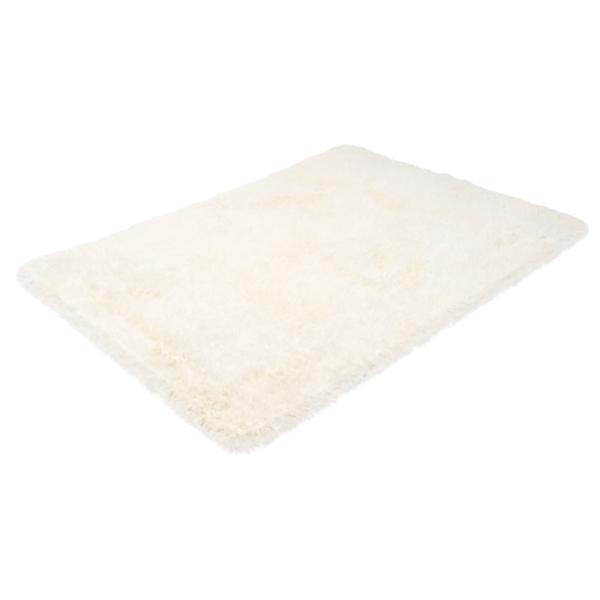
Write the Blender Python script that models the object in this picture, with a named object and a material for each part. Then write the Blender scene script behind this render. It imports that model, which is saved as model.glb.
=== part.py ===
"""A shag rug that lies flat on the floor: deep, soft cream pile on one rectangular backing.

Metres, +Z up. The origin is on the floor under the rug's middle, +X runs along its long side
and +Y along its short side. The rug is one piece of pile cloth, so it is one solid: a lumpy
slab of tufts with a row of locks round its rim, whose undersides rest level on the floor.
"""

import bmesh
import bpy
from mathutils import Vector, noise
from math import copysign, cos, pi, sin, sqrt

# Driving dimensions.
LENGTH = 1.60  # along X, over the tips of the locks
WIDTH = 1.20  # along Y, over the tips of the locks
PILE_HEIGHT = 0.041  # the usual height of a tuft's tip over the floor
CORNER_RADIUS = 0.085  # of the outline that the locks' tips follow

# The top, as a grid of points that rises and falls with the clumps of pile.
CELLS_LONG = 69
CELLS_WIDE = 51
GRID_JITTER = 0.0035  # so that no row of the grid shows
CLUMPS = (
    # span of one clump, height over the mean, seed
    (0.200, 0.0045, 3.7),
    (0.072, 0.0065, 5.1),
    (0.042, 0.0065, 9.4),
)
CLUMP_LEAN = 0.7  # how far a clump leans the way the pile lies, for each metre that it stands over the mean
LIE_SPAN = 0.30  # over which the pile's lie turns round
LIE_SEED = 11.3
LIE_START = -1.2  # radians from +X, where the noise is 0
LIE_OUTWARD = 2.5  # how strongly the pile lies outwards at the rim
LIE_OUTWARD_POWER = 8  # the higher, the narrower the border that does

# The rim, as insets from the outline and heights over the floor.
CROWN_INSET = 0.029  # where the top ends and the rim turns down
CROWN_FALL = 0.002  # how much lower the pile is there
CROWN_REACH = 0.060  # over which it falls
BROW_INSET = 0.017  # halfway round the turn
BROW_FALL = 0.004  # under the crown
SHOULDER_INSET = 0.011  # the upper root of the locks
SHOULDER_HEIGHT = 0.027
SHOULDER_UNEVENNESS = 0.003
BACKING_INSET = 0.018  # the backing's edge, flat on the floor: the lower root of the locks

# The locks, one for each step of the rim.
LOCK_WAIST_AT = 0.55  # of the way from root to tip
LOCK_WAIST_WIDTH = 0.84  # of a step
LOCK_WAIST_HEIGHT = 0.0190
LOCK_WAIST_UNEVENNESS = 0.0035
LOCK_CROWN_WIDTH = 0.62  # of the waist, along the lock's back
LOCK_TIP_HEIGHT = 0.0010
LOCK_TIP_UNEVENNESS = 0.0020
LOCK_SHORTEST = 0.70  # of the full reach
LOCK_SWAY = 0.0065  # sideways, at the tip

# How the outline strays from a true rectangle, side by side. Along is the place on the side,
# and out is how far the rim stands out there: the far corners flare and the sides draw in.
STRAY_POWER = 3  # the higher, the nearer to the rim the stray ends
SIDE_STRAY = {
    # side: ((along, out), ...)
    "+Y": (
        (-0.80, 0.030),
        (-0.68, 0.026),
        (-0.54, -0.005),
        (-0.28, -0.001),
        (0.00, -0.012),
        (0.16, -0.016),
        (0.36, -0.002),
        (0.56, 0.015),
        (0.80, 0.028),
    ),
    "+X": (
        (-0.60, -0.006),
        (-0.44, -0.006),
        (-0.20, -0.007),
        (0.02, 0.006),
        (0.20, -0.006),
        (0.34, -0.014),
        (0.48, -0.003),
        (0.60, 0.024),
    ),
    "-Y": ((-0.80, 0.001), (-0.50, 0.004), (0.20, 0.004), (0.46, 0.006), (0.56, 0.000), (0.80, 0.002)),
    "-X": ((-0.60, 0.001), (-0.40, 0.003), (-0.24, 0.002), (0.30, 0.002), (0.60, 0.005)),
}

# Where the pile parts along old fold lines, and beside the border that falls outwards.
PARTING_WANDER = 0.012
PARTING_WANDER_SPAN = 0.11
PARTINGS = (
    # start x, start y, end x, end y, depth, half width
    (-0.672, 0.330, -0.690, -0.370, 0.0080, 0.026),
    (-0.575, 0.320, -0.560, 0.110, 0.0060, 0.022),
    (-0.700, -0.415, -0.360, -0.405, 0.0085, 0.024),
    (-0.060, 0.040, -0.055, -0.340, 0.0060, 0.022),
    (-0.090, -0.385, 0.150, -0.345, 0.0065, 0.024),
    (0.455, 0.170, 0.440, -0.040, 0.0070, 0.024),
    (0.150, 0.330, 0.460, 0.300, 0.0080, 0.032),
    (0.460, 0.300, 0.540, 0.430, 0.0060, 0.026),
    (-0.780, 0.370, -0.640, 0.385, 0.0060, 0.024),
    (0.330, -0.440, 0.600, -0.490, 0.0060, 0.030),
    (0.570, -0.520, 0.590, -0.620, 0.0120, 0.016),
)

PILE_COLOUR = (0.90, 0.85, 0.76, 1.0)
PILE_ROUGHNESS = 0.9


def smooth(t):
    """0 to 1 as t goes from 0 to 1, level at both ends."""
    t = min(max(t, 0.0), 1.0)
    return t * t * (3.0 - 2.0 * t)


def chance(i, j, salt):
    """A number from -1 to 1 that is always the same for these three."""
    return 2.0 * noise.cell(Vector((i + 0.5, j + 0.5, salt + 0.5))) - 1.0


def along_table(table, place):
    """The table's value at a place, smooth between its rows."""
    if place <= table[0][0]:
        return table[0][1]
    for (a, low), (b, high) in zip(table, table[1:]):
        if place <= b:
            return low + (high - low) * smooth((place - a) / (b - a))
    return table[-1][1]


def stray(x, y):
    """How far the point moves because the sides aren't straight: most at the rim, nothing in the middle."""
    east, north = 2.0 * x / LENGTH, 2.0 * y / WIDTH
    out_x = along_table(SIDE_STRAY["+X" if x > 0 else "-X"], y) * abs(east) ** STRAY_POWER
    out_y = along_table(SIDE_STRAY["+Y" if y > 0 else "-Y"], x) * abs(north) ** STRAY_POWER
    return Vector((out_x if x > 0 else -out_x, out_y if y > 0 else -out_y, 0.0))


def inside_outline(u, v, inset):
    """The point at u, v, each from -1 to 1, of a rectangle with round corners, that far inside the outline."""
    half_x, half_y = LENGTH / 2 - inset, WIDTH / 2 - inset
    radius = CORNER_RADIUS - inset
    x, y = u * half_x, v * half_y
    a, b = (abs(x) - half_x + radius) / radius, (abs(y) - half_y + radius) / radius
    if a > 0 and b > 0:  # the corner's square becomes a quarter of a disc
        x = copysign(half_x - radius + radius * a * sqrt(1.0 - b * b / 2.0), x)
        y = copysign(half_y - radius + radius * b * sqrt(1.0 - a * a / 2.0), y)
    return Vector((x, y, 0.0)) + stray(x, y)


def rim_steps():
    """The grid's border as (u, v), once round, anticlockwise from above."""
    long_side = [2.0 * i / CELLS_LONG - 1.0 for i in range(CELLS_LONG)]
    short_side = [2.0 * j / CELLS_WIDE - 1.0 for j in range(CELLS_WIDE)]
    return (
        [(u, -1.0) for u in long_side]
        + [(1.0, v) for v in short_side]
        + [(-u, 1.0) for u in long_side]
        + [(-1.0, -v) for v in short_side]
    )


def parting_depth(place):
    """How far the pile sinks at a place, because it parts nearby."""
    deepest = 0.0
    for row, (x0, y0, x1, y1, depth, half_width) in enumerate(PARTINGS):
        start, run = Vector((x0, y0)), Vector((x1 - x0, y1 - y0))
        share = min(max((place.xy - start).dot(run) / run.length_squared, 0.0), 1.0)
        wander = noise.noise(Vector((place.x / PARTING_WANDER_SPAN, place.y / PARTING_WANDER_SPAN, row)))
        off = (place.xy - start - share * run).length + PARTING_WANDER * wander
        deepest = max(deepest, depth * smooth(1.0 - abs(off) / half_width))
    return deepest


def clump_height(place):
    """How far the clump of pile at a place stands over the mean."""
    return sum(
        height * noise.noise(Vector((place.x / span, place.y / span, seed))) for span, height, seed in CLUMPS
    )


def rim_fall(place):
    """How much lower the pile is near the rim."""
    half_x, half_y = LENGTH / 2 - CROWN_INSET, WIDTH / 2 - CROWN_INSET
    to_rim = min(half_x - abs(place.x), half_y - abs(place.y))
    return CROWN_FALL * smooth(1.0 - to_rim / CROWN_REACH)


def pile_lie(place):
    """The way the pile lies there, as a unit vector on the floor: outwards near the rim, in swirls inside."""
    angle = LIE_START + 2.0 * pi * noise.noise(Vector((place.x / LIE_SPAN, place.y / LIE_SPAN, LIE_SEED)))
    east, north = 2.0 * place.x / LENGTH, 2.0 * place.y / WIDTH
    outward = Vector((copysign(east**LIE_OUTWARD_POWER, east), copysign(north**LIE_OUTWARD_POWER, north)))
    return (Vector((cos(angle), sin(angle))) + LIE_OUTWARD * outward).normalized()


def top_point(i, j):
    """A point of the top's grid, raised and leant over with its clump."""
    place = inside_outline(2.0 * i / CELLS_LONG - 1.0, 2.0 * j / CELLS_WIDE - 1.0, CROWN_INSET)
    inner = 0 < i < CELLS_LONG and 0 < j < CELLS_WIDE
    if inner:
        place += Vector((chance(i, j, 1), chance(i, j, 2), 0.0)) * GRID_JITTER
    clump = clump_height(place)
    height = PILE_HEIGHT + clump - rim_fall(place) - parting_depth(place)
    if inner:
        place += pile_lie(place).to_3d() * CLUMP_LEAN * clump
    place.z = height
    return place


def add_top(mesh):
    """The grid of tufts. Returns its border's points, in the order of rim_steps()."""
    grid = [[mesh.verts.new(top_point(i, j)) for j in range(CELLS_WIDE + 1)] for i in range(CELLS_LONG + 1)]
    for i in range(CELLS_LONG):
        for j in range(CELLS_WIDE):
            a, b, c, d = grid[i][j], grid[i + 1][j], grid[i + 1][j + 1], grid[i][j + 1]
            # The cell is split along its lower diagonal, as a crease between two clumps runs.
            lower = min(a.co.z, c.co.z) < min(b.co.z, d.co.z)
            halves = ((a, b, c), (a, c, d)) if lower else ((a, b, d), (b, c, d))
            for half in halves:
                mesh.faces.new(half)
    south = [grid[i][0] for i in range(CELLS_LONG)]
    east = [grid[CELLS_LONG][j] for j in range(CELLS_WIDE)]
    north = [grid[CELLS_LONG - i][CELLS_WIDE] for i in range(CELLS_LONG)]
    west = [grid[0][CELLS_WIDE - j] for j in range(CELLS_WIDE)]
    return south + east + north + west


def add_ring(mesh, inset, heights):
    """A ring of points round the rim, one for each step."""
    ring = []
    for (u, v), height in zip(rim_steps(), heights):
        place = inside_outline(u, v, inset)
        place.z = height
        ring.append(mesh.verts.new(place))
    return ring


def add_lock(mesh, k, upper, lower, reach):
    """One lock: a tapering tuft of four sides from its root on the rim to its tip, level on the floor."""
    (upper_a, upper_b), (lower_a, lower_b) = upper, lower
    root = (lower_a.co + lower_b.co) / 2
    step = lower_b.co - lower_a.co
    tip = root + (reach - root) * (1.0 - (1.0 - LOCK_SHORTEST) * abs(chance(k, 1, 4)))
    waist = root.lerp(tip, LOCK_WAIST_AT)
    tip += step.normalized() * LOCK_SWAY * chance(k, 1, 5)
    tip.z = LOCK_TIP_HEIGHT + LOCK_TIP_UNEVENNESS * abs(chance(k, 1, 6))
    top = Vector((0.0, 0.0, LOCK_WAIST_HEIGHT + LOCK_WAIST_UNEVENNESS * chance(k, 1, 7)))
    half = step * LOCK_WAIST_WIDTH / 2
    back = half * LOCK_CROWN_WIDTH
    waist_ring = [mesh.verts.new(p) for p in (waist - half, waist + half, waist + back + top, waist - back + top)]
    root_ring = [lower_a, lower_b, upper_b, upper_a]
    point = mesh.verts.new(tip)
    for n in range(4):
        m = (n + 1) % 4
        mesh.faces.new((root_ring[n], root_ring[m], waist_ring[m], waist_ring[n]))
        mesh.faces.new((waist_ring[n], waist_ring[m], point))


def add_rim(mesh, crown):
    """The rim from the top's border down to the backing's edge, with its locks, and the flat underside."""
    steps = rim_steps()
    count = len(steps)
    brow = add_ring(mesh, BROW_INSET, [point.co.z - BROW_FALL for point in crown])
    shoulder = add_ring(
        mesh, SHOULDER_INSET, [SHOULDER_HEIGHT + SHOULDER_UNEVENNESS * chance(k, 0, 3) for k in range(count)]
    )
    backing = add_ring(mesh, BACKING_INSET, [0.0] * count)
    for k in range(count):
        n = (k + 1) % count
        mesh.faces.new((brow[k], brow[n], crown[n], crown[k]))
        mesh.faces.new((shoulder[k], shoulder[n], brow[n], brow[k]))
        reach = (inside_outline(*steps[k], 0.0) + inside_outline(*steps[n], 0.0)) / 2
        add_lock(mesh, k, (shoulder[k], shoulder[n]), (backing[k], backing[n]), reach)
    mesh.faces.new(list(reversed(backing)))


def pile_material():
    material = bpy.data.materials.new("cream_pile")
    material.use_nodes = True
    shader = material.node_tree.nodes["Principled BSDF"]
    shader.inputs["Base Color"].default_value = PILE_COLOUR
    shader.inputs["Roughness"].default_value = PILE_ROUGHNESS
    shader.inputs["Metallic"].default_value = 0.0
    material.diffuse_color = PILE_COLOUR
    return material


def put_over_origin(mesh):
    """Move the mesh along the floor until the middle of its box is over the origin."""
    for axis in (0, 1):
        places = [point.co[axis] for point in mesh.verts]
        middle = (min(places) + max(places)) / 2
        for point in mesh.verts:
            point.co[axis] -= middle


def make_rug():
    mesh = bmesh.new()
    add_rim(mesh, add_top(mesh))
    bmesh.ops.recalc_face_normals(mesh, faces=mesh.faces)
    put_over_origin(mesh)
    data = bpy.data.meshes.new("shag_rug")
    mesh.to_mesh(data)
    mesh.free()
    data.materials.append(pile_material())
    data.shade_smooth()
    rug = bpy.data.objects.new("shag_rug", data)
    bpy.context.scene.collection.objects.link(rug)


def main():
    for old in list(bpy.data.objects):
        bpy.data.objects.remove(old)
    make_rug()


main()
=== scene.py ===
"""The looks of the shag rug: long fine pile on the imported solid's shape, its undercoat and its backing.

Metres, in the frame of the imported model: +X along the rug's long side, +Y along its short side,
+Z up, and the floor at z = 0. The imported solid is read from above, as maps of how high the pile
stands and how far inside the rim each place is. Tufts are set on those maps, and every tuft is a
bunch of yarns, each of them a thin ribbon. Over the rim the tufts turn down and come to rest on
the floor.
"""

from math import cos, pi, radians, sin

import bpy
import numpy as np
from mathutils import Matrix, Vector
from mathutils.bvhtree import BVHTree
from mathutils.kdtree import KDTree

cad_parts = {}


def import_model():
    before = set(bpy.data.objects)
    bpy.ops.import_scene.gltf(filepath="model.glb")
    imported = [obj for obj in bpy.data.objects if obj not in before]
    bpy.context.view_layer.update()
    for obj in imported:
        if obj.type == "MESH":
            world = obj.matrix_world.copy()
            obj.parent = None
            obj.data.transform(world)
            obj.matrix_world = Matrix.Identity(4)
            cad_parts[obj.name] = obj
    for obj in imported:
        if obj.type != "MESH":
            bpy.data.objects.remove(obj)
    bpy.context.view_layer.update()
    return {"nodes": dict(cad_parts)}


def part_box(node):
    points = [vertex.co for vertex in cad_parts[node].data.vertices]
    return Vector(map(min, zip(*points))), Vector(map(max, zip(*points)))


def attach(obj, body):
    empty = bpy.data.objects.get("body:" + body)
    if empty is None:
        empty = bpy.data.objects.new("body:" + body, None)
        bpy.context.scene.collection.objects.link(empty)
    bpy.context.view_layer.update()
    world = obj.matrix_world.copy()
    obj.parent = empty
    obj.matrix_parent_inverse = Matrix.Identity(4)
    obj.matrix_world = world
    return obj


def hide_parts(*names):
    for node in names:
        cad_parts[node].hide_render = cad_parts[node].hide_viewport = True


NODE = "shag_rug"

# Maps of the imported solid.
MAP_PITCH = 0.004
MAP_MARGIN = 0.040
RAY_CLEARANCE = 1.0  # how far over the solid the rays that read it start
LOCK_GAP_CELLS = 3  # gaps between the rim's locks up to twice this wide count as pile
OUTLINE_EVENING = 0.016  # bumps of the outline smaller than this are evened out
DISTANCE_BLURS = 2
OUTWARD_BLURS = 6
UPHILL_BLURS = 3
SPARE_FILLS = 4  # rounds of filling, over those that reach the map's edge
LAST_CELL = 1.001  # this far from a map's end, there is still a next cell to mix with
NOISE_CELLS = 64
LEAST_LENGTH = 1e-9  # of a vector that is made a unit vector

# Tufts of the field, which is all of the pile that stands on the flat, and of the rim.
PILE_SEED = 7
FIELD_TUFT_PITCH = 0.0104
RIM_TUFT_PITCH = 0.0068
ROW_STEP = 0.866  # of a pitch, as in a grid of even triangles
TUFT_JITTER = 0.42  # of a pitch
FIELD_YARNS = 13  # in one tuft
RIM_YARNS = 19
LEVELLING = 0.5  # how much of the broad rises and hollows the tips even out
LEVELLING_REACH = 0.06
FIELD_OVERLAP = 0.010  # how far the field goes over the rim's turn
MOST_YARNS_A_PIECE = 65_000

# The rim's turn, from its crown, where the field ends, down to its foot.
RIM_WIDTH = 0.029  # from the outline in to the crown
RIM_FOOT = -0.0072  # how far inside the outline the foot stands: less than 0 is outside it
RIM_FULLNESS = 2.3  # 2 is a quarter of an ellipse, and more is a squarer shoulder
RIM_SWELL = 0.009  # how much higher the pile stands at the outline, and less further in
RIM_SWELL_REACH = 0.09
CROWN_PROBE = 0.02  # how far in from each of its places the rim takes its crown's height
CREST_WIDTH = 0.020  # from the crown out, over which tufts go from the field's kind to the foot's

# Tufts at the foot.
RIM_RUFFLE = 0.10  # of the field's ruffle
RIM_EVENNESS = 0.5  # of the field's spread of heights
RIM_BOW = 34.0  # how much the yarns bow in to follow the turn, as one over a radius
RIM_SWIRL = 0.06  # how much they lie the way the field does, and not straight down

# One yarn.
YARN_ROWS = 3  # points along it, its tip among them
FIELD_YARN_WIDTH = 0.0012
RIM_YARN_WIDTH = 0.0010
WIDTH_SPREAD = 0.25  # as a share
YARN_TAPER = (0.85, 1.0)  # of its width, at each row but the tip
YARN_ROOT_DEPTH = 0.017  # root under the pile's surface
ROOT_SETBACK = 0.35  # of its lean, behind its place in the tuft
BEND_SETBACK = 0.15
BEND_SINK = 0.001  # its bend under its tip
TIP_SINK = 0.12  # of its lean: the further a tip leans, the lower it is
YARN_CURL = 0.0021  # either way
CURL_WAVES = 0.75  # from root to tip
YARN_ROLL = 0.9  # radians, the most that a ribbon turns about its own line
TUFT_RADIUS = 0.0085
RIM_TUFT_RADIUS = 0.010
FIELD_LEAN = 0.013  # how far a tip lies ahead of its place in the tuft
RIM_LEAN = 0.009
LEAN_SPREAD = 0.2  # as a share, for tufts and again for yarns
LIFT_SPREAD = 0.0011  # of the tips' heights, where the pile is combed
FLYAWAY_SHARE = 0.02  # of the yarns, whose tips stray
FLYAWAY_REACH = 0.0016
LEAST_HEIGHT = 0.0007  # over the floor
FLOOR_SPREAD = 0.0015  # yarns that reach the floor lie up to this much over it
KNEE_HEIGHT = 0.052  # yarns over this height are pressed down, to stand at most KNEE_ROOM over it
KNEE_ROOM = 0.008

# Streaks of the pile, where the photograph shows them. The columns are from x, from y, to x, to y,
# half width, how much more the pile is ruffled there, which is in curls with gaps instead of
# combed flat, and how much warmer its shade is.
# Their warmth is partly the pile's own patchy tone and partly painted shade, warmer where the ruffled
# pile opens to its deep roots.
STREAKS = (
    (-0.78, 0.36, -0.72, 0.34, 0.035, 0.5, 0.28),
    (-0.68, 0.30, -0.67, 0.02, 0.030, 0.6, 0.30),
    (-0.67, 0.02, -0.70, -0.27, 0.025, 0.6, 0.30),
    (-0.74, -0.30, -0.73, -0.43, 0.040, 1.3, 0.30),
    (-0.77, -0.45, -0.74, -0.56, 0.050, 1.6, 0.14),
    (-0.66, -0.42, -0.43, -0.43, 0.025, 0.8, 0.25),
    (-0.58, -0.50, -0.50, -0.48, 0.030, 0.6, 0.10),
    (-0.43, -0.53, -0.33, -0.57, 0.025, 0.7, 0.15),
    (-0.23, -0.57, -0.15, -0.55, 0.030, 0.4, 0.25),
    (-0.59, 0.33, -0.54, 0.29, 0.024, 0.4, 0.30),
    (-0.58, 0.17, -0.54, 0.10, 0.024, 0.5, 0.30),
    (-0.30, 0.17, -0.30, -0.10, 0.060, 0.2, 0.25),
    (-0.05, -0.13, -0.06, -0.36, 0.022, 0.7, 0.35),
    (0.12, -0.35, 0.03, -0.40, 0.035, 0.5, 0.40),
    (0.11, -0.19, 0.07, -0.27, 0.024, 0.4, 0.30),
    (0.02, 0.38, 0.06, 0.39, 0.035, 0.2, 0.25),
    (0.10, 0.35, 0.29, 0.29, 0.045, 0.5, 0.48),
    (0.37, 0.43, 0.44, 0.30, 0.048, 0.5, 0.30),
    (0.45, 0.15, 0.43, 0.00, 0.036, 0.5, 0.42),
    (0.44, -0.46, 0.56, -0.50, 0.038, 0.4, 0.20),
    (0.33, -0.42, 0.31, -0.52, 0.040, 0.3, -0.10),
    (-0.46, 0.34, -0.43, 0.27, 0.035, 0.0, -0.45),
    (-0.65, -0.22, -0.63, -0.36, 0.040, 0.0, -0.18),
    (-0.76, 0.50, -0.66, 0.52, 0.060, 0.0, -0.30),
    (-0.18, 0.16, -0.14, 0.14, 0.045, 0.0, -0.25),
    (-0.28, -0.51, -0.15, -0.49, 0.040, 0.0, -0.15),
    (0.40, -0.19, 0.28, -0.34, 0.065, 0.0, -0.34),
    (0.68, 0.40, 0.64, -0.50, 0.130, 0.0, -0.40),
    (-0.32, -0.20, -0.06, 0.06, 0.150, 0.0, 0.32),
    (-0.40, 0.30, -0.15, 0.26, 0.110, 0.0, 0.22),
    (0.12, -0.47, 0.60, -0.46, 0.100, 0.0, -0.24),
    (0.22, 0.22, 0.17, 0.00, 0.070, 0.0, 0.24),
)
STREAK_EDGE = 1.4  # where a streak ends, in half widths
STREAK_WOBBLE = 0.6  # of a half width
WOBBLE_SPAN = 0.035
WOBBLE_SEED = 41

# Ruffle is 0 where the pile is combed flat, 1 where it stands in curls, and more where they are large.
RUFFLE_MEAN = 0.10
RUFFLE_DRIFT = 0.20  # either way
RUFFLE_SPAN = 0.09
RUFFLE_SEED = 31
RUFFLE_MOST = 1.6
RUFFLE_CLOSING = 0.25  # how much of a tuft's spread a ruffle of 1 closes up
RUFFLE_LIFT = 2.2  # how much it adds to the spread of heights, as a share
RUFFLE_CURL = 1.4  # and to the curl

# How the pile lies.
LIE_START = 0.5  # radians from +X
LIE_SWING = 0.8  # radians either way
LIE_SPAN = 0.17
LIE_SEED = 11
TUFT_TURN = (0.5, 1.6)  # radians either way, where the ruffle is 0 and where it is 1
UPHILL_PULL = 1.6  # yarns close up over a clump and part over a hollow
BORDER_FROM, BORDER_TO = 0.05, 0.015  # the pile turns outward between these distances from the rim
BORDER_COMBING = 0.75  # how much of its own lie it loses there
BORDER_PULL = 1.2  # and how strongly it is drawn outward

# The shade of a yarn, from 0, the coolest white, to 1, the warmest cream.
SHADE_MEAN = 0.60
# Painted shade: yarns are warmer where the pile lies deep in a hollow.
HOLLOW_PAINTED_SHADE = 22.0  # for each metre of depth under the pile around
HOLLOW_REACH = 0.05
# Painted shade: yarns at the rim are cooler, for the cool shadow tone of the rim's sides.
SHADE_RIM = -0.48  # at the outline, and less further in
SHADE_RIM_REACH = 0.052
SHADE_DRIFT = 0.06  # either way
SHADE_SPAN = 0.16
SHADE_SEED = 23
SHADE_TUFT = 0.06  # either way, for each tuft
SHADE_YARN = 0.04  # and for each of its yarns
SHADE_STRIP = 0.006  # from a ribbon's middle to either edge
SHADE_LEAST, SHADE_MOST = 0.10, 0.98

# The undercoat and the backing.
UNDERCOAT_SINK = 0.009
UNDERCOAT_INSET = 0.006  # at the outline, and less further in
UNDERCOAT_INSET_REACH = 0.06
BACKING_SIZE = (1.545, 1.145)
BACKING_RADIUS = 0.055
BACKING_THICKNESS = 0.0022
BACKING_CORNER_STEPS = 8

# Materials. The colours are stops: how far along, and red, green and blue there.
SPECULAR_LEVEL = 0.25
PILE_ROUGHNESS = 0.85
SHEEN_WEIGHT = 0.25
SHEEN_ROUGHNESS = 0.5
TIP_COLOURS = (
    (0.0, (0.885, 0.880, 0.870)),
    (0.5, (0.925, 0.868, 0.785)),
    (1.0, (0.935, 0.830, 0.700)),
)
# The roots are a little darker and warmer than the tips: painted shade deep in the pile.
ROOT_COLOURS = (
    (0.0, (0.885, 0.878, 0.865)),
    (0.5, (0.925, 0.857, 0.765)),
    (1.0, (0.935, 0.810, 0.670)),
)
ROOT_TO_TIP = ((0.15, (0, 0, 0)), (0.8, (1, 1, 1)))
MAP_EDGE = 0.01  # of the ribbons' map, left free under the root and over the tip
UNDERCOAT_ROUGHNESS = 0.95
# The undercoat is darker and warmer than the yarns: painted shade deep in the pile.
UNDERCOAT_COLOURS = ((0.3, (0.80, 0.73, 0.63)), (0.7, (0.89, 0.84, 0.76)))
FUZZ_SCALE = 220.0
FUZZ_DETAIL = 3.0
BACKING_ROUGHNESS = 0.9
BACKING_COLOURS = ((0.0, (0.58, 0.53, 0.45)), (1.0, (0.80, 0.76, 0.68)))
WEAVE_SCALE = 80.0
WEAVE_DISTORTION = 0.6

# Camera, from the photograph: its target is on the floor.
CAMERA_TARGET = Vector((-0.2241, -0.1834, 0.0))
CAMERA_DISTANCE = 2.2265
CAMERA_AZIMUTH = radians(-41.529)
CAMERA_ELEVATION = radians(31.939)
CAMERA_ROLL = radians(-2.423)
CAMERA_LENS = 43.87  # millimetres, as is the sensor's width
CAMERA_SENSOR = 36.0
CAMERA_CLIP = (0.05, 100.0)

# Light.
SKY_COLOUR = (0.98, 0.99, 1.0)
SKY_STRENGTH = 0.72
GROUND_STRENGTH = 4.1
GROUND_BELOW = -0.06  # the light turns from the sky's to the ground's from level down to this
KEY_PLACE = Vector((-0.38, -0.03, 1.6))
KEY_SIZE = 1.0
KEY_COLOUR = (1.0, 0.975, 0.935)
KEY_POWER = 45.4
FLOOR_SIZE = 60.0
FLOOR_SINK = 0.0005  # under the rug
FLOOR_GLOW = 4.0

# Rendering. The tones are those of film, with bright whites pressed together. Each is light in, as
# a share of WHITE_LEVEL, and light out.
WHITE_LEVEL = 2.4
TONES = ((0.0, 0.0), (0.21, 0.45), (0.42, 0.79), (0.62, 0.92), (1.0, 1.0))
COMBINED_CURVE = 3  # after red, green and blue
DIFFUSE_BOUNCES = 8
MOST_BOUNCES = 12
FILTER_WIDTH = 2.1  # pixels


def smooth(t):
    """0 to 1 as t goes from 0 to 1, level at both ends."""
    t = np.clip(t, 0.0, 1.0)
    return t * t * (3.0 - 2.0 * t)


def between(least, most, share):
    return least + (most - least) * share


def unit(vectors):
    lengths = np.linalg.norm(vectors, axis=-1, keepdims=True)
    return vectors / np.maximum(lengths, LEAST_LENGTH)


def mixed(cells, columns, rows, share_x, share_y):
    """What a map holds between four of its cells, in two columns and two rows."""
    low, high = (
        cells[columns[0], row] * (1 - share_x) + cells[columns[1], row] * share_x for row in rows
    )
    return low * (1 - share_y) + high * share_y


def wander(x, y, span, seed):
    """Noise from -1 to 1 that changes over about one span."""
    cells = np.random.default_rng(seed).uniform(-1.0, 1.0, (NOISE_CELLS, NOISE_CELLS))
    gx, gy = x / span, y / span
    ix, iy = np.floor(gx).astype(int), np.floor(gy).astype(int)
    columns = ix % NOISE_CELLS, (ix + 1) % NOISE_CELLS
    rows = iy % NOISE_CELLS, (iy + 1) % NOISE_CELLS
    return mixed(cells, columns, rows, smooth(gx - ix), smooth(gy - iy))


def neighbours(cells):
    """The map's four neighbours of each cell, as four maps."""
    padded = np.pad(cells, 1, mode="edge")
    return padded[2:, 1:-1], padded[:-2, 1:-1], padded[1:-1, 2:], padded[1:-1, :-2]


def grown(mask, times):
    """The mask with its neighbours added, again and again."""
    for _ in range(times):
        mask = np.logical_or.reduce((mask, *neighbours(mask)))
    return mask


def blurred(cells, times):
    """Each cell mixed with its four neighbours, itself counted twice, again and again."""
    for _ in range(times):
        cells = (2.0 * cells + sum(neighbours(cells))) / 6.0
    return cells


def smeared(cells, reach):
    """The map averaged over a square that goes this far each way."""
    side = int(reach / MAP_PITCH)
    for axis in (0, 1):
        rim = [(side + 1, side) if a == axis else (0, 0) for a in (0, 1)]
        total = np.moveaxis(np.cumsum(np.pad(cells, rim, mode="edge"), axis), axis, 0)
        width = 2 * side + 1
        cells = np.moveaxis((total[width:] - total[:-width]) / width, 0, axis)
    return cells


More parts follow.
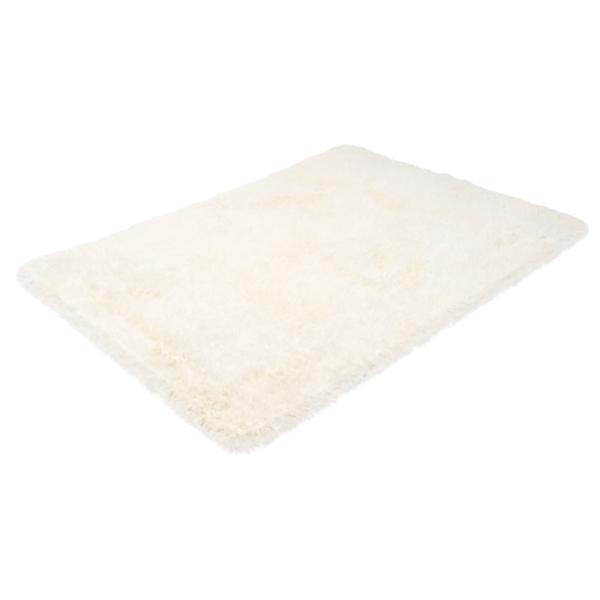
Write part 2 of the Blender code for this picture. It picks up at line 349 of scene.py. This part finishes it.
class Relief:
    """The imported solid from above, as maps.

    They hold the pile's height, the distance in from the outline, and the ways out and uphill.
    """

    def __init__(self, node):
        low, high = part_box(NODE)
        self.low = np.array(low[:2]) - MAP_MARGIN
        count = np.ceil((np.array(high[:2]) + MAP_MARGIN - self.low) / MAP_PITCH).astype(int) + 1
        heights = self.read_heights(node, count, high.z)
        inside = ~grown(~grown(heights > 0.0, LOCK_GAP_CELLS), LOCK_GAP_CELLS)
        inside = smeared(inside.astype(float), OUTLINE_EVENING) > 0.5
        self.mean_height = float(np.median(heights[heights > 0.0]))
        self.distance = self.measure_inward(inside)
        self.height = self.filled(heights)
        self.height -= LEVELLING * (smeared(self.height, LEVELLING_REACH) - self.mean_height)
        self.swell = RIM_SWELL * smooth(1.0 - self.distance / RIM_SWELL_REACH)
        self.height += self.swell
        self.hollow = smeared(self.height, HOLLOW_REACH) - self.height
        self.in_x, self.in_y = np.gradient(blurred(self.distance, OUTWARD_BLURS), MAP_PITCH)
        self.up_x, self.up_y = np.gradient(blurred(self.height, UPHILL_BLURS), MAP_PITCH)

    def read_heights(self, node, count, top):
        """The height of the solid at each place of the map, and 0 beside it."""
        mesh = node.data
        tree = BVHTree.FromPolygons([v.co for v in mesh.vertices], [p.vertices for p in mesh.polygons])
        heights = np.zeros(count)
        down = Vector((0.0, 0.0, -1.0))
        for i in range(count[0]):
            for j in range(count[1]):
                x, y = self.low + MAP_PITCH * np.array((i, j))
                place = tree.ray_cast(Vector((x, y, top + RAY_CLEARANCE)), down)[0]
                heights[i, j] = place.z if place else 0.0
        return heights

    def measure_inward(self, inside):
        """How far inside the outline each place is, in metres."""
        beside = np.argwhere(grown(inside, 1) & ~inside)
        rim = KDTree(len(beside))
        for number, (i, j) in enumerate(beside):
            rim.insert((i, j, 0), number)
        rim.balance()
        distance = np.zeros(inside.shape)
        for i, j in np.argwhere(inside):
            distance[i, j] = rim.find((i, j, 0))[2] * MAP_PITCH
        return blurred(distance, DISTANCE_BLURS)

    def filled(self, heights):
        """The heights, with those of the rim and outside taken from further in."""
        known = self.distance > RIM_WIDTH
        level = np.where(known, heights, 0.0)
        for _ in range(int((RIM_WIDTH + MAP_MARGIN) / MAP_PITCH) + SPARE_FILLS):
            total = sum(neighbours(level * known))
            number = sum(near.astype(float) for near in neighbours(known))
            reached = ~known & (number > 0)
            level = np.where(reached, total / np.maximum(number, 1.0), level)
            known = known | reached
        return np.where(known, level, self.mean_height)

    def read(self, cells, x, y):
        """A map's value at each place, between its cells."""
        gx = np.clip((x - self.low[0]) / MAP_PITCH, 0.0, cells.shape[0] - LAST_CELL)
        gy = np.clip((y - self.low[1]) / MAP_PITCH, 0.0, cells.shape[1] - LAST_CELL)
        ix, iy = gx.astype(int), gy.astype(int)
        return mixed(cells, (ix, ix + 1), (iy, iy + 1), gx - ix, gy - iy)

    def outward(self, x, y):
        """The way out to the nearest rim, as unit vectors on the floor."""
        return -unit(np.stack([self.read(self.in_x, x, y), self.read(self.in_y, x, y)], 1))

    def uphill(self, x, y):
        """The way uphill on the floor, as long as the pile is steep."""
        return np.stack([self.read(self.up_x, x, y), self.read(self.up_y, x, y)], 1)


def scattered(pitch, rng):
    """Places over the whole map, a pitch apart in offset rows and moved about a little."""
    low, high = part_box(NODE)
    rows = np.arange(low.y, high.y, pitch * ROW_STEP)
    columns = np.arange(low.x, high.x, pitch)
    x, y = np.meshgrid(columns, rows, indexing="ij")
    x = x + 0.5 * pitch * (np.arange(len(rows)) % 2)
    x, y = x.ravel(), y.ravel()
    jitter = rng.uniform(-TUFT_JITTER, TUFT_JITTER, (2, len(x))) * pitch
    return x + jitter[0], y + jitter[1]


class Tufts:
    """Where tufts stand, the way out of the pile's surface and the way they lie there, and their looks.

    Their crest is 1 in the field, and falls to 0 from the rim's crown to its foot.
    """

    def __init__(self, relief, x, y, place, normal, lie, crest, radius, rng):
        self.place, self.normal, self.lie, self.radius = place, normal, lie, radius
        lean = between(RIM_LEAN, FIELD_LEAN, crest)
        self.lean = lean * rng.uniform(1.0 - LEAN_SPREAD, 1.0 + LEAN_SPREAD, len(x))
        self.shade = shade_of(relief, x, y, rng)
        self.ruffle = between(RIM_RUFFLE, 1.0, crest) * ruffle_of(x, y)
        evenness = between(RIM_EVENNESS, 1.0, crest)
        self.lift = LIFT_SPREAD * evenness * (1.0 + RUFFLE_LIFT * self.ruffle)
        self.bow = between(RIM_BOW, 0.0, crest)


def streaks_at(x, y):
    """The ruffle and the warmth that the streaks give each place."""
    ruffle, warmth = np.zeros(len(x)), np.zeros(len(x))
    wobble = STREAK_WOBBLE * wander(x, y, WOBBLE_SPAN, WOBBLE_SEED)
    for from_x, from_y, to_x, to_y, half_width, more_ruffle, more_warmth in STREAKS:
        run_x, run_y = to_x - from_x, to_y - from_y
        along = ((x - from_x) * run_x + (y - from_y) * run_y) / (run_x**2 + run_y**2)
        along = np.clip(along, 0.0, 1.0)
        away = np.hypot(x - from_x - along * run_x, y - from_y - along * run_y) / half_width
        share = smooth(STREAK_EDGE + wobble - away)
        ruffle += more_ruffle * share
        warmth += more_warmth * share
    return ruffle, warmth


def ruffle_of(x, y):
    drift = RUFFLE_DRIFT * wander(x, y, RUFFLE_SPAN, RUFFLE_SEED)
    return np.clip(RUFFLE_MEAN + drift + streaks_at(x, y)[0], 0.0, RUFFLE_MOST)


def lie_on_floor(relief, x, y, rng):
    """The way the pile lies, as unit vectors on the floor.

    It lies one way with a swing, uphill over clumps, and outward at the rim.
    """
    own = between(*TUFT_TURN, ruffle_of(x, y)) * rng.uniform(-1.0, 1.0, len(x))
    angle = LIE_START + LIE_SWING * wander(x, y, LIE_SPAN, LIE_SEED) + own
    swirl = np.stack([np.cos(angle), np.sin(angle)], 1)
    inward = relief.read(relief.distance, x, y)
    border = smooth((BORDER_FROM - inward) / (BORDER_FROM - BORDER_TO))[:, None]
    combed = (1.0 - BORDER_COMBING * border) * swirl
    outward = BORDER_PULL * border * relief.outward(x, y)
    return unit(combed + UPHILL_PULL * relief.uphill(x, y) + outward)


def shade_of(relief, x, y, rng):
    """Warmer in the hollows and cooler at the rim, both painted shade."""
    hollow = HOLLOW_PAINTED_SHADE * relief.read(relief.hollow, x, y)
    border = SHADE_RIM * smooth(1.0 - relief.read(relief.distance, x, y) / SHADE_RIM_REACH)
    warmth = streaks_at(x, y)[1]
    drift = SHADE_DRIFT * wander(x, y, SHADE_SPAN, SHADE_SEED)
    own = rng.uniform(-SHADE_TUFT, SHADE_TUFT, len(x))
    return SHADE_MEAN + hollow + border + warmth + drift + own


def field_tufts(relief, rng):
    """Tufts over the top, and a little over the rim's turn."""
    x, y = scattered(FIELD_TUFT_PITCH, rng)
    kept = relief.read(relief.distance, x, y) > RIM_WIDTH - FIELD_OVERLAP
    x, y = x[kept], y[kept]
    place = np.stack([x, y, relief.read(relief.height, x, y)], 1)
    lie = np.c_[lie_on_floor(relief, x, y, rng), np.zeros(len(x))]
    ones = np.ones(len(x))
    normal = unit(np.c_[-relief.uphill(x, y), ones])
    return Tufts(relief, x, y, place, normal, lie, ones, TUFT_RADIUS, rng)


def rim_tufts(relief, rng):
    """Tufts round the rim's quarter turn, from its crown, facing up, to its foot, facing out."""
    x, y = scattered(RIM_TUFT_PITCH, rng)
    inward = relief.read(relief.distance, x, y)
    kept = (inward > 0.5 * MAP_PITCH) & (inward < RIM_WIDTH)
    x, y, inward = x[kept], y[kept], inward[kept]
    turn = inward / RIM_WIDTH * pi / 2
    out = relief.outward(x, y)
    reach = RIM_WIDTH - RIM_FOOT
    outer = np.cos(turn) ** (2.0 / RIM_FULLNESS)
    rise = np.sin(turn) ** (2.0 / RIM_FULLNESS)
    moved = (inward - (RIM_FOOT + reach * (1.0 - outer)))[:, None] * out
    crown = relief.read(relief.height, x - CROWN_PROBE * out[:, 0], y - CROWN_PROBE * out[:, 1])
    place = np.c_[np.stack([x, y], 1) + moved, crown * rise]
    across = outer ** (RIM_FULLNESS - 1.0) / reach
    upward = rise ** (RIM_FULLNESS - 1.0) / crown
    normal = unit(np.c_[out * across[:, None], upward])
    down = unit(np.c_[out * upward[:, None], -across])
    floor_lie = np.c_[lie_on_floor(relief, x, y, rng), np.zeros(len(x))]
    crest = 1.0 - smooth((RIM_WIDTH - inward) / CREST_WIDTH)
    lie = unit((1.0 - crest)[:, None] * down + (RIM_SWIRL + crest)[:, None] * floor_lie)
    return Tufts(relief, x, y, place, normal, lie, crest, RIM_TUFT_RADIUS, rng)


def curved(root, bend, tip, curl):
    """Points along each yarn, from its root to its tip, drawn towards its bend and curled aside."""
    rows = []
    for row in range(YARN_ROWS):
        t = row / (YARN_ROWS - 1)
        line = (1 - t) ** 2 * root + 2 * t * (1 - t) * bend + t * t * tip
        rows.append(line + sin(2 * pi * CURL_WAVES * t) * curl)
    return np.stack(rows, 1)


def kept_off_floor(height, rng):
    """The points' heights, pressed down where they stand too high, and kept over the floor."""
    over = np.maximum(height - KNEE_HEIGHT, 0.0)
    height = np.minimum(height, KNEE_HEIGHT) + KNEE_ROOM * (1.0 - np.exp(-over / KNEE_ROOM))
    return np.maximum(height, LEAST_HEIGHT + FLOOR_SPREAD * rng.uniform(0, 1, (len(height), 1)))


def yarn_lines(tufts, number, rng):
    """Every yarn's points, from root to tip, with its surface's normal and its shade."""

    def repeated(values):
        return np.repeat(values, number, axis=0)

    count = len(tufts.place) * number
    place, normal, lie = repeated(tufts.place), repeated(tufts.normal), repeated(tufts.lie)
    across = np.cross(normal, lie)
    lean = (repeated(tufts.lean) * rng.uniform(1.0 - LEAN_SPREAD, 1.0 + LEAN_SPREAD, count))[:, None]
    ruffle = repeated(tufts.ruffle)[:, None]
    lift = rng.normal(0.0, 1.0, (count, 1)) * repeated(tufts.lift)[:, None]
    angle = rng.uniform(0, 2 * pi, count)
    radius = tufts.radius * np.sqrt(rng.uniform(0, 1, count))
    ahead = (np.cos(angle) * radius)[:, None]
    aside = (np.sin(angle) * radius)[:, None]
    spread = ahead * lie + aside * across
    flyaway = (rng.uniform(0, 1, count) < FLYAWAY_SHARE)[:, None]
    stray = rng.normal(0.0, 1.0, (count, 3)) * FLYAWAY_REACH * flyaway
    closing = 1.0 - RUFFLE_CLOSING * ruffle
    closed = closing * spread
    drop = 0.5 * repeated(tufts.bow)[:, None] * (closing * ahead + lean) ** 2
    root = place + spread - YARN_ROOT_DEPTH * normal - ROOT_SETBACK * lean * lie
    bend = place + 0.5 * (spread + closed) + (lift - BEND_SINK) * normal - BEND_SETBACK * lean * lie
    tip = place + closed + lean * lie + (lift - TIP_SINK * lean - drop) * normal + stray
    curl = rng.uniform(-YARN_CURL, YARN_CURL, (count, 1)) * (1.0 + RUFFLE_CURL * ruffle) * across
    lines = curved(root, bend, tip, curl)
    lines[:, :, 2] = kept_off_floor(lines[:, :, 2], rng)
    shade = repeated(tufts.shade) + rng.uniform(-SHADE_YARN, SHADE_YARN, count)
    return lines, normal, np.clip(shade, SHADE_LEAST, SHADE_MOST)


def ribbon_points(lines, normal, width, rng):
    """The points of a ribbon along each line: a pair at each row but the last, and then its tip."""
    count = len(lines)
    along = unit(np.gradient(lines, axis=1))
    across = unit(np.cross(along, normal[:, None, :]))
    roll = rng.uniform(-YARN_ROLL, YARN_ROLL, count)[:, None, None]
    across = across * np.cos(roll) + np.cross(along, across) * np.sin(roll)
    half = (width / 2 * rng.uniform(1.0 - WIDTH_SPREAD, 1.0 + WIDTH_SPREAD, count))[:, None, None]
    side = across[:, :-1] * half * np.array(YARN_TAPER)[None, :, None]
    pairs = np.stack([lines[:, :-1] - side, lines[:, :-1] + side], 2).reshape(count, -1, 3)
    points = np.concatenate([pairs, lines[:, -1:]], 1)
    points[:, :, 2] = np.maximum(points[:, :, 2], LEAST_HEIGHT / 2)
    return points


def ribbon_mesh(name, lines, normal, shade, width, rng):
    """One mesh of a ribbon along each line, whose last face comes to a point.

    Its map holds the shade across, and root to tip up.
    """
    points = ribbon_points(lines, normal, width, rng)
    count, per_yarn = points.shape[:2]
    quads = YARN_ROWS - 2
    corners = []
    for quad in range(quads):
        corners += [2 * quad, 2 * quad + 1, 2 * quad + 3, 2 * quad + 2]
    corners = np.array(corners + [2 * quads, 2 * quads + 1, 2 * quads + 2])
    sizes = np.array([4] * quads + [3])
    loops = (np.arange(count)[:, None] * per_yarn + corners).ravel()
    totals = np.tile(sizes, count)
    starts = np.concatenate([[0], np.cumsum(totals)[:-1]])
    mesh = bpy.data.meshes.new(name)
    mesh.vertices.add(count * per_yarn)
    mesh.vertices.foreach_set("co", points.astype(np.float32).ravel())
    mesh.loops.add(len(loops))
    mesh.loops.foreach_set("vertex_index", loops.astype(np.int32))
    mesh.polygons.add(len(totals))
    mesh.polygons.foreach_set("loop_start", starts.astype(np.int32))
    mesh.polygons.foreach_set("loop_total", totals.astype(np.int32))
    mesh.polygons.foreach_set("use_smooth", np.ones(len(totals), bool))
    mesh.update(calc_edges=True)
    edge = np.array([-1.0, 1.0] * (quads + 1) + [0.0])
    height = np.append(np.repeat(np.arange(quads + 1) / (YARN_ROWS - 1), 2), 1.0)
    across = shade[:, None] + SHADE_STRIP * edge[corners]
    up = np.broadcast_to(between(MAP_EDGE, 1.0 - MAP_EDGE, height[corners]), across.shape)
    at = np.stack([across, up], 2)
    mesh.uv_layers.new(name="OFBake").uv.foreach_set("vector", at.astype(np.float32).ravel())
    return mesh


def add_object(name, mesh, material):
    mesh.materials.append(material)
    piece = bpy.data.objects.new(name, mesh)
    bpy.context.scene.collection.objects.link(piece)
    return piece


def make_pile(relief, material):
    """The pile's pieces: the rim and the field, each in strips along the rug."""
    rng = np.random.default_rng(PILE_SEED)
    pieces = []
    for part, tufts, yarns, width in (
        ("pile_rim", rim_tufts(relief, rng), RIM_YARNS, RIM_YARN_WIDTH),
        ("pile_field", field_tufts(relief, rng), FIELD_YARNS, FIELD_YARN_WIDTH),
    ):
        lines, normal, shade = yarn_lines(tufts, yarns, rng)
        order = np.argsort(lines[:, 0, 0], kind="stable")
        strips = int(np.ceil(len(lines) / MOST_YARNS_A_PIECE))
        for number, chosen in enumerate(np.array_split(order, strips), 1):
            name = f"{part}_{number}"
            mesh = ribbon_mesh(name, lines[chosen], normal[chosen], shade[chosen], width, rng)
            pieces.append(add_object(name, mesh, material))
    return pieces


def make_undercoat(relief, node, material):
    """The dense lower pile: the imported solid's shape, drawn in and down under the yarns' tips."""
    mesh = bpy.data.meshes.new("undercoat")
    faces = [p.vertices[:] for p in node.data.polygons]
    mesh.from_pydata([v.co[:] for v in node.data.vertices], [], faces)
    co = np.array([v.co for v in mesh.vertices])
    inward = relief.read(relief.distance, co[:, 0], co[:, 1])
    edge = 1.0 - smooth(inward / UNDERCOAT_INSET_REACH)
    co[:, :2] -= UNDERCOAT_INSET * edge[:, None] * relief.outward(co[:, 0], co[:, 1])
    share = 1.0 + (relief.read(relief.swell, co[:, 0], co[:, 1]) - UNDERCOAT_SINK) / relief.mean_height
    co[:, 2] = BACKING_THICKNESS + (share - BACKING_THICKNESS / relief.mean_height) * co[:, 2]
    mesh.vertices.foreach_set("co", co.astype(np.float32).ravel())
    mesh.polygons.foreach_set("use_smooth", np.ones(len(mesh.polygons), bool))
    mesh.update()
    return add_object("undercoat", mesh, material)


def make_backing(material):
    """A thin woven cloth with round corners, on the floor under the undercoat."""
    width, depth = BACKING_SIZE
    outline = []
    for quarter in range(4):
        corner_x = (width / 2 - BACKING_RADIUS) * (1 if quarter in (0, 3) else -1)
        corner_y = (depth / 2 - BACKING_RADIUS) * (1 if quarter in (0, 1) else -1)
        for step in range(BACKING_CORNER_STEPS + 1):
            angle = (quarter + step / BACKING_CORNER_STEPS) * pi / 2
            across, up = BACKING_RADIUS * cos(angle), BACKING_RADIUS * sin(angle)
            outline.append((corner_x + across, corner_y + up))
    count = len(outline)
    points = [(x, y, z) for z in (0.0, BACKING_THICKNESS) for x, y in outline]
    faces = [tuple(reversed(range(count))), tuple(range(count, 2 * count))]
    faces += [(k, (k + 1) % count, count + (k + 1) % count, count + k) for k in range(count)]
    mesh = bpy.data.meshes.new("backing")
    mesh.from_pydata(points, [], faces)
    mesh.update()
    return add_object("backing", mesh, material)


def new_material(name, roughness):
    material = bpy.data.materials.new(name)
    material.use_nodes = True
    shader = material.node_tree.nodes["Principled BSDF"]
    shader.inputs["Roughness"].default_value = roughness
    shader.inputs["Specular IOR Level"].default_value = SPECULAR_LEVEL
    return material, material.node_tree, shader


def ramp_of(tree, stops):
    """A colour ramp with these stops. It comes with two, and the others are added and then placed."""
    ramp = tree.nodes.new("ShaderNodeValToRGB")
    for _ in stops[2:]:
        ramp.color_ramp.elements.new(0.5)
    for element, (place, colour) in zip(ramp.color_ramp.elements, stops):
        element.position = place
        element.color = (*colour, 1.0)
    return ramp


def pile_material():
    """Colour by the ribbons' own map: cool to warm cream across, and darker root to pale tip up, the
    darker root being painted shade deep in the pile.
    """
    material, tree, shader = new_material("cream_pile", PILE_ROUGHNESS)
    place = tree.nodes.new("ShaderNodeUVMap")
    place.uv_map = "OFBake"
    split = tree.nodes.new("ShaderNodeSeparateXYZ")
    tree.links.new(place.outputs["UV"], split.inputs[0])
    tip = ramp_of(tree, TIP_COLOURS)
    root = ramp_of(tree, ROOT_COLOURS)
    rise = ramp_of(tree, ROOT_TO_TIP)
    mix = tree.nodes.new("ShaderNodeMix")
    mix.data_type = "RGBA"
    tree.links.new(split.outputs["X"], tip.inputs["Fac"])
    tree.links.new(split.outputs["X"], root.inputs["Fac"])
    tree.links.new(split.outputs["Y"], rise.inputs["Fac"])
    tree.links.new(rise.outputs["Color"], mix.inputs["Factor"])
    tree.links.new(root.outputs["Color"], mix.inputs["A"])
    tree.links.new(tip.outputs["Color"], mix.inputs["B"])
    tree.links.new(mix.outputs["Result"], shader.inputs["Base Color"])
    shader.inputs["Sheen Weight"].default_value = SHEEN_WEIGHT
    shader.inputs["Sheen Roughness"].default_value = SHEEN_ROUGHNESS
    return material


def undercoat_material():
    """Fine fuzz between two creams, darker and warmer than the yarns as painted shade deep in the pile.
    """
    material, tree, shader = new_material("cream_undercoat", UNDERCOAT_ROUGHNESS)
    place = tree.nodes.new("ShaderNodeTexCoord")
    fuzz = tree.nodes.new("ShaderNodeTexNoise")
    fuzz.inputs["Scale"].default_value = FUZZ_SCALE
    fuzz.inputs["Detail"].default_value = FUZZ_DETAIL
    tree.links.new(place.outputs["Object"], fuzz.inputs["Vector"])
    colour = ramp_of(tree, UNDERCOAT_COLOURS)
    tree.links.new(fuzz.outputs["Fac"], colour.inputs["Fac"])
    tree.links.new(colour.outputs["Color"], shader.inputs["Base Color"])
    return material


def backing_material():
    """A plain weave: two crossing sets of bands, light over dark."""
    material, tree, shader = new_material("woven_backing", BACKING_ROUGHNESS)
    place = tree.nodes.new("ShaderNodeTexCoord")
    bands = []
    for direction in ("X", "Y"):
        wave = tree.nodes.new("ShaderNodeTexWave")
        wave.bands_direction = direction
        wave.inputs["Scale"].default_value = WEAVE_SCALE
        wave.inputs["Distortion"].default_value = WEAVE_DISTORTION
        tree.links.new(place.outputs["Object"], wave.inputs["Vector"])
        bands.append(wave)
    weave = tree.nodes.new("ShaderNodeMath")
    weave.operation = "MULTIPLY"
    tree.links.new(bands[0].outputs["Fac"], weave.inputs[0])
    tree.links.new(bands[1].outputs["Fac"], weave.inputs[1])
    colour = ramp_of(tree, BACKING_COLOURS)
    tree.links.new(weave.outputs[0], colour.inputs["Fac"])
    tree.links.new(colour.outputs["Color"], shader.inputs["Base Color"])
    return material


def add_camera():
    """The photograph's camera, which looks at its target and is rolled a little."""
    flat = cos(CAMERA_ELEVATION)
    back = Vector((sin(CAMERA_AZIMUTH) * flat, -cos(CAMERA_AZIMUTH) * flat, sin(CAMERA_ELEVATION)))
    level = Vector((0.0, 0.0, 1.0)).cross(back).normalized()
    upright = back.cross(level)
    right = cos(CAMERA_ROLL) * level + sin(CAMERA_ROLL) * upright
    up = cos(CAMERA_ROLL) * upright - sin(CAMERA_ROLL) * level
    data = bpy.data.cameras.new("camera")
    data.lens, data.sensor_width = CAMERA_LENS, CAMERA_SENSOR
    data.clip_start, data.clip_end = CAMERA_CLIP
    camera = bpy.data.objects.new("camera", data)
    turn = Matrix((right, up, back)).transposed().to_4x4()
    camera.matrix_world = Matrix.Translation(CAMERA_TARGET + back * CAMERA_DISTANCE) @ turn
    bpy.context.scene.collection.objects.link(camera)
    bpy.context.scene.camera = camera


def add_world():
    """A soft light from all round, and stronger from below. The camera sees it as white."""
    world = bpy.data.worlds.new("studio")
    bpy.context.scene.world = world
    world.use_nodes = True
    tree = world.node_tree
    background = tree.nodes["Background"]
    place = tree.nodes.new("ShaderNodeTexCoord")
    split = tree.nodes.new("ShaderNodeSeparateXYZ")
    tree.links.new(place.outputs["Generated"], split.inputs[0])
    level = tree.nodes.new("ShaderNodeMapRange")
    level.inputs["From Min"].default_value = GROUND_BELOW
    level.inputs["From Max"].default_value = 0.0
    level.inputs["To Min"].default_value = GROUND_STRENGTH
    level.inputs["To Max"].default_value = SKY_STRENGTH
    tree.links.new(split.outputs["Z"], level.inputs["Value"])
    path = tree.nodes.new("ShaderNodeLightPath")
    seen = tree.nodes.new("ShaderNodeMix")
    seen.inputs["B"].default_value = FLOOR_GLOW
    tree.links.new(path.outputs["Is Camera Ray"], seen.inputs["Factor"])
    tree.links.new(level.outputs["Result"], seen.inputs["A"])
    tree.links.new(seen.outputs["Result"], background.inputs["Strength"])
    background.inputs["Color"].default_value = (*SKY_COLOUR, 1.0)


def add_key_light():
    """A soft square light overhead, which the camera doesn't see."""
    data = bpy.data.lights.new("key", "AREA")
    data.shape, data.size, data.energy = "SQUARE", KEY_SIZE, KEY_POWER
    data.color = KEY_COLOUR
    light = bpy.data.objects.new("key", data)
    light.location = KEY_PLACE
    light.visible_camera = False
    bpy.context.scene.collection.objects.link(light)


def add_floor():
    """A floor that is as white as the photograph's background, and lights nothing."""
    half = FLOOR_SIZE / 2
    corners = [(-half, -half, 0), (half, -half, 0), (half, half, 0), (-half, half, 0)]
    mesh = bpy.data.meshes.new("floor")
    mesh.from_pydata(corners, [], [(0, 1, 2, 3)])
    material = bpy.data.materials.new("white_floor")
    material.use_nodes = True
    tree = material.node_tree
    tree.nodes.remove(tree.nodes["Principled BSDF"])
    glow = tree.nodes.new("ShaderNodeEmission")
    glow.inputs["Strength"].default_value = FLOOR_GLOW
    tree.links.new(glow.outputs[0], tree.nodes["Material Output"].inputs["Surface"])
    floor = add_object("floor", mesh, material)
    floor.location.z = -FLOOR_SINK
    floor.visible_diffuse = floor.visible_glossy = floor.visible_shadow = False


def set_rendering():
    """The tones, how often light bounces, and how soft the picture is."""
    view = bpy.context.scene.view_settings
    view.view_transform, view.look = "Standard", "None"
    view.use_curve_mapping = True
    mapping = view.curve_mapping
    mapping.white_level = (WHITE_LEVEL, WHITE_LEVEL, WHITE_LEVEL)
    points = mapping.curves[COMBINED_CURVE].points
    for _ in TONES[2:]:
        points.new(0.5, 0.5)
    for point, place in zip(points, TONES):
        point.location = place
    mapping.update()
    cycles = bpy.context.scene.cycles
    cycles.diffuse_bounces = DIFFUSE_BOUNCES
    cycles.max_bounces = MOST_BOUNCES
    cycles.filter_width = FILTER_WIDTH


def main():
    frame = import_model()
    node = frame["nodes"][NODE]
    relief = Relief(node)
    pile = make_pile(relief, pile_material())
    undercoat = make_undercoat(relief, node, undercoat_material())
    backing = make_backing(backing_material())
    for piece in (*pile, undercoat, backing):
        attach(piece, "root")
        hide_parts(NODE)
    add_camera()
    add_world()
    add_key_light()
    add_floor()
    set_rendering()


main()
